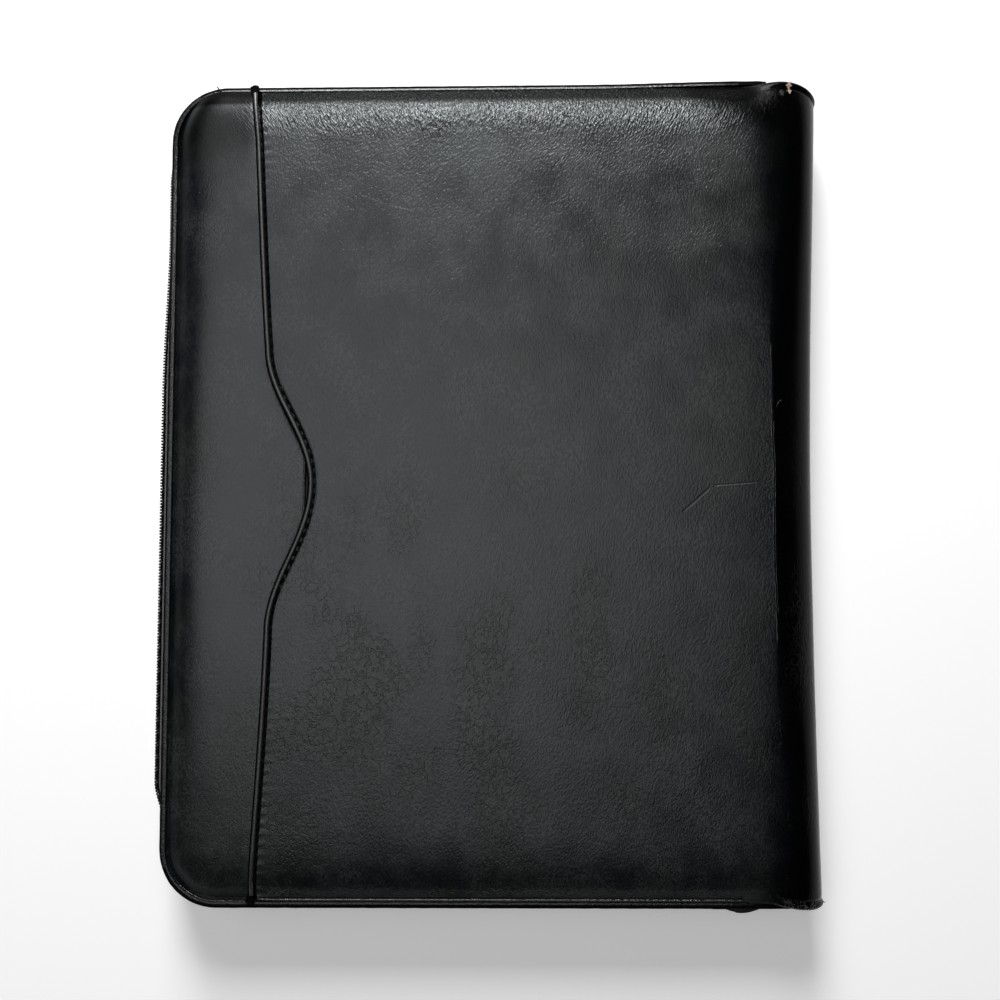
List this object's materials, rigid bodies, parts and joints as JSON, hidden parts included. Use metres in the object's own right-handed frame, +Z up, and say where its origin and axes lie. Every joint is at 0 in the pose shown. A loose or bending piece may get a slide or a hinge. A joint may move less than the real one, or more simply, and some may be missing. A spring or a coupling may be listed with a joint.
{
  "type": "zippered padfolio",
  "caption": "Black leather zippered padfolio: two padded covers on a soft folding spine, a slip pocket with a wavy mouth, a coil zip round the free edges, a writing pad and organiser inside.",
  "frame": {"origin": "middle of the back cover's flat outer face, on which the closed padfolio lies", "axes": "+X towards the spine, +Y along the spine, +Z up through the front cover"},
  "size_m": [0.2732, 0.3451, 0.0381],
  "materials": {
    "cover_leather": "grained, semi-matt",
    "binding_leather": "smooth, rolled",
    "padding_foam": "soft foam",
    "stiffener_board": "grey-brown board",
    "lining_fabric": "fine woven",
    "organiser_leather": "fine grain",
    "zip_tape": "herringbone tape",
    "zip_coil": "nylon coil",
    "black_metal": "black enamel, worn",
    "pad_paper": "ruled paper",
    "pad_tape": "paper binding tape",
    "pen_elastic": "ribbed elastic"
  },
  "bodies": {
    "back_cover": {"back_leather": "cover_leather", "back_foam": "padding_foam", "back_board": "stiffener_board", "back_lining": "lining_fabric", "back_binding": "binding_leather", "back_zip_tape": "zip_tape", "back_zip_coil": "zip_coil", "zip_start_stop": "black_metal", "zip_end_stop": "black_metal", "pad_sleeve": "organiser_leather", "pad_board": "stiffener_board", "pad_sheets": "pad_paper", "pad_header": "pad_tape", "pen_loop": "pen_elastic"},
    "spine_fold_1": {"spine_leather_1": "cover_leather", "spine_lining_1": "lining_fabric"},
    "spine_fold_2": {"spine_leather_2": "cover_leather", "spine_lining_2": "lining_fabric"},
    "front_cover": {"front_pocket_panel": "cover_leather", "pocket_mouth_hem": "binding_leather", "fore_panel": "cover_leather", "pocket_lining": "lining_fabric", "front_foam": "padding_foam", "front_board": "stiffener_board", "front_lining": "lining_fabric", "front_binding": "binding_leather", "front_zip_tape": "zip_tape", "front_zip_coil": "zip_coil", "document_pocket": "organiser_leather", "card_pocket_1": "organiser_leather", "card_pocket_2": "organiser_leather", "card_pocket_3": "organiser_leather"},
    "zip_slider": {"zip_slider": "black_metal"},
    "zip_pull": {"zip_pull": "black_metal"}
  },
  "joints": [
    {"name": "back_crease", "type": "hinge", "parent": "back_cover", "child": "spine_fold_1", "pos_m": [0.125, 0, 0.004], "axis": [0, 1, 0], "range_deg": [0, 39.33]},
    {"name": "spine_bend", "type": "hinge", "parent": "spine_fold_1", "child": "spine_fold_2", "pos_m": [0.143, 0, 0.01875], "axis": [0, 1, 0], "range_deg": [0, 101.34]},
    {"name": "front_crease", "type": "hinge", "parent": "spine_fold_2", "child": "front_cover", "pos_m": [0.125, 0, 0.0335], "axis": [0, 1, 0], "range_deg": [0, 39.33]},
    {"name": "zip_slide", "type": "slide", "parent": "back_cover", "child": "zip_slider", "axis": [-1, 0, 0], "range_m": [0, 0.19]},
    {"name": "pull_swing", "type": "hinge", "parent": "zip_slider", "child": "zip_pull", "pos_m": [0.10195, -0.1724, 0.018], "axis": [0, 0, -1], "range_deg": [0, 180]}
  ],
  "couplings": [
    {"joint": "back_crease", "follows": "front_crease", "ratio": 1},
    {"joint": "spine_bend", "follows": "front_crease", "ratio": 2.5766}
  ]
}
